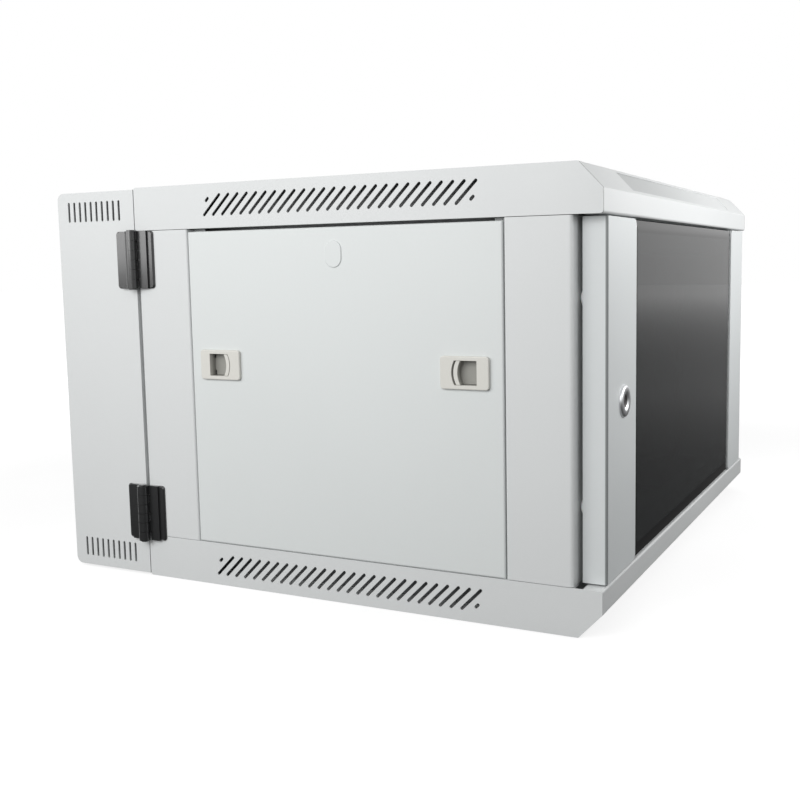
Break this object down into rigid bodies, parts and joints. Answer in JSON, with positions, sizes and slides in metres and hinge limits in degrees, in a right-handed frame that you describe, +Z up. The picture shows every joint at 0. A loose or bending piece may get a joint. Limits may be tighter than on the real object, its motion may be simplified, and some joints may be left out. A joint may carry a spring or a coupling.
{
  "type": "server rack cabinet",
  "caption": "Hinged double-section wall-mount 19-inch rack cabinet: smoked glass door, latched side panels, swing-out body, wall section with cable entries.",
  "frame": {"origin": "centre of the main steel case in width and depth, on the plane of its bottom face", "axes": "+X to the right of someone facing the door, +Y towards the wall, +Z up"},
  "size_m": [0.6143, 0.5475, 0.368],
  "materials": {
    "powder_coat": "satin light grey powder coat",
    "rail_steel": "zinc plated sheet steel",
    "black_hinge": "semi-gloss black die casting",
    "smoked_glass": "smoked tempered glass",
    "latch_plastic": "fine-grained warm grey moulded plastic",
    "lock_chrome": "satin chrome plating",
    "zinc_steel": "bright zinc plating",
    "bumper_rubber": "translucent white soft rubber",
    "foam_tape": "black mounting tape",
    "nylon": "natural nylon"
  },
  "bodies": {
    "wall_section": {"wall_shell": "powder_coat", "wall_cheek_left": "powder_coat", "wall_cheek_right": "powder_coat", "cable_cover_top": "powder_coat", "cable_cover_bottom": "powder_coat", "cable_cover_screws": "zinc_steel", "hinge_leaves_wall": "black_hinge", "hinge_screws_wall": "zinc_steel", "hinge_pins": "black_hinge", "swing_lock_strike": "zinc_steel", "swing_lock_strike_pin": "zinc_steel"},
    "main_frame": {"bottom_cheek_left": "powder_coat", "bottom_cheek_right": "powder_coat", "bottom_tray": "powder_coat", "depth_rail_lower_left": "rail_steel", "depth_rail_lower_right": "rail_steel", "depth_rail_upper_left": "rail_steel", "depth_rail_upper_right": "rail_steel", "door_pivot_washer": "nylon", "door_pivots": "zinc_steel", "earth_stud": "zinc_steel", "front_post_left": "powder_coat", "front_post_right": "powder_coat", "hinge_leaves_main": "black_hinge", "hinge_screws_main": "zinc_steel", "rack_bolts": "zinc_steel", "rack_rail_front_left": "rail_steel", "rack_rail_front_right": "rail_steel", "rack_rail_rear_left": "rail_steel", "rack_rail_rear_right": "rail_steel", "rear_post_left": "powder_coat", "rear_post_right": "powder_coat", "rear_rail_bottom": "powder_coat", "rear_rail_top": "powder_coat", "swing_lock_body": "lock_chrome", "swing_lock_nut": "zinc_steel", "top_cheek_left": "powder_coat", "top_cheek_right": "powder_coat", "top_tray": "powder_coat"},
    "door": {"door_lock_stile": "powder_coat", "door_hinge_stile": "powder_coat", "door_rail_top": "powder_coat", "door_rail_bottom": "powder_coat", "door_glass": "smoked_glass", "door_glass_tape": "foam_tape", "door_bumpers": "bumper_rubber", "door_lock_body": "lock_chrome", "door_lock_nut": "zinc_steel"},
    "door_lock_turn": {"door_lock_plug": "lock_chrome", "door_lock_cam": "zinc_steel"},
    "swing_lock_turn": {"swing_lock_plug": "lock_chrome", "swing_lock_hook": "zinc_steel"},
    "side_panel_left": {"side_panel_left": "powder_coat", "latch_housings_left": "latch_plastic"},
    "side_panel_right": {"side_panel_right": "powder_coat", "latch_housings_right": "latch_plastic"},
    "latch_left_front": {"latch_slider_left_front": "latch_plastic"},
    "latch_left_rear": {"latch_slider_left_rear": "latch_plastic"},
    "latch_right_front": {"latch_slider_right_front": "latch_plastic"},
    "latch_right_rear": {"latch_slider_right_rear": "latch_plastic"}
  },
  "joints": [
    {"name": "main_swing", "type": "hinge", "parent": "wall_section", "child": "main_frame", "pos_m": [-0.306, 0.1775, 0.184], "axis": [0, 0, -1], "range_deg": [0, 100]},
    {"name": "swing_lock", "type": "hinge", "parent": "main_frame", "child": "swing_lock_turn", "pos_m": [0.276, 0.144, 0.184], "axis": [1, 0, 0], "range_deg": [0, 90]},
    {"name": "door_swing", "type": "hinge", "parent": "main_frame", "child": "door", "pos_m": [0.281, -0.265, 0.184], "axis": [0, 0, 1], "range_deg": [0, 180]},
    {"name": "door_lock", "type": "hinge", "parent": "door", "child": "door_lock_turn", "pos_m": [-0.2425, -0.2725, 0.181], "axis": [0, 1, 0], "range_deg": [0, 90]},
    {"name": "left_panel_pull", "type": "slide", "parent": "main_frame", "child": "side_panel_left", "axis": [-1, 0, 0], "range_m": [0, 0.15]},
    {"name": "left_front_latch", "type": "slide", "parent": "side_panel_left", "child": "latch_left_front", "axis": [0, -1, 0], "range_m": [0, 0.008]},
    {"name": "left_rear_latch", "type": "slide", "parent": "side_panel_left", "child": "latch_left_rear", "axis": [0, 1, 0], "range_m": [0, 0.008]},
    {"name": "right_panel_pull", "type": "slide", "parent": "main_frame", "child": "side_panel_right", "axis": [1, 0, 0], "range_m": [0, 0.15]},
    {"name": "right_front_latch", "type": "slide", "parent": "side_panel_right", "child": "latch_right_front", "axis": [0, -1, 0], "range_m": [0, 0.008]},
    {"name": "right_rear_latch", "type": "slide", "parent": "side_panel_right", "child": "latch_right_rear", "axis": [0, 1, 0], "range_m": [0, 0.008]}
  ]
}
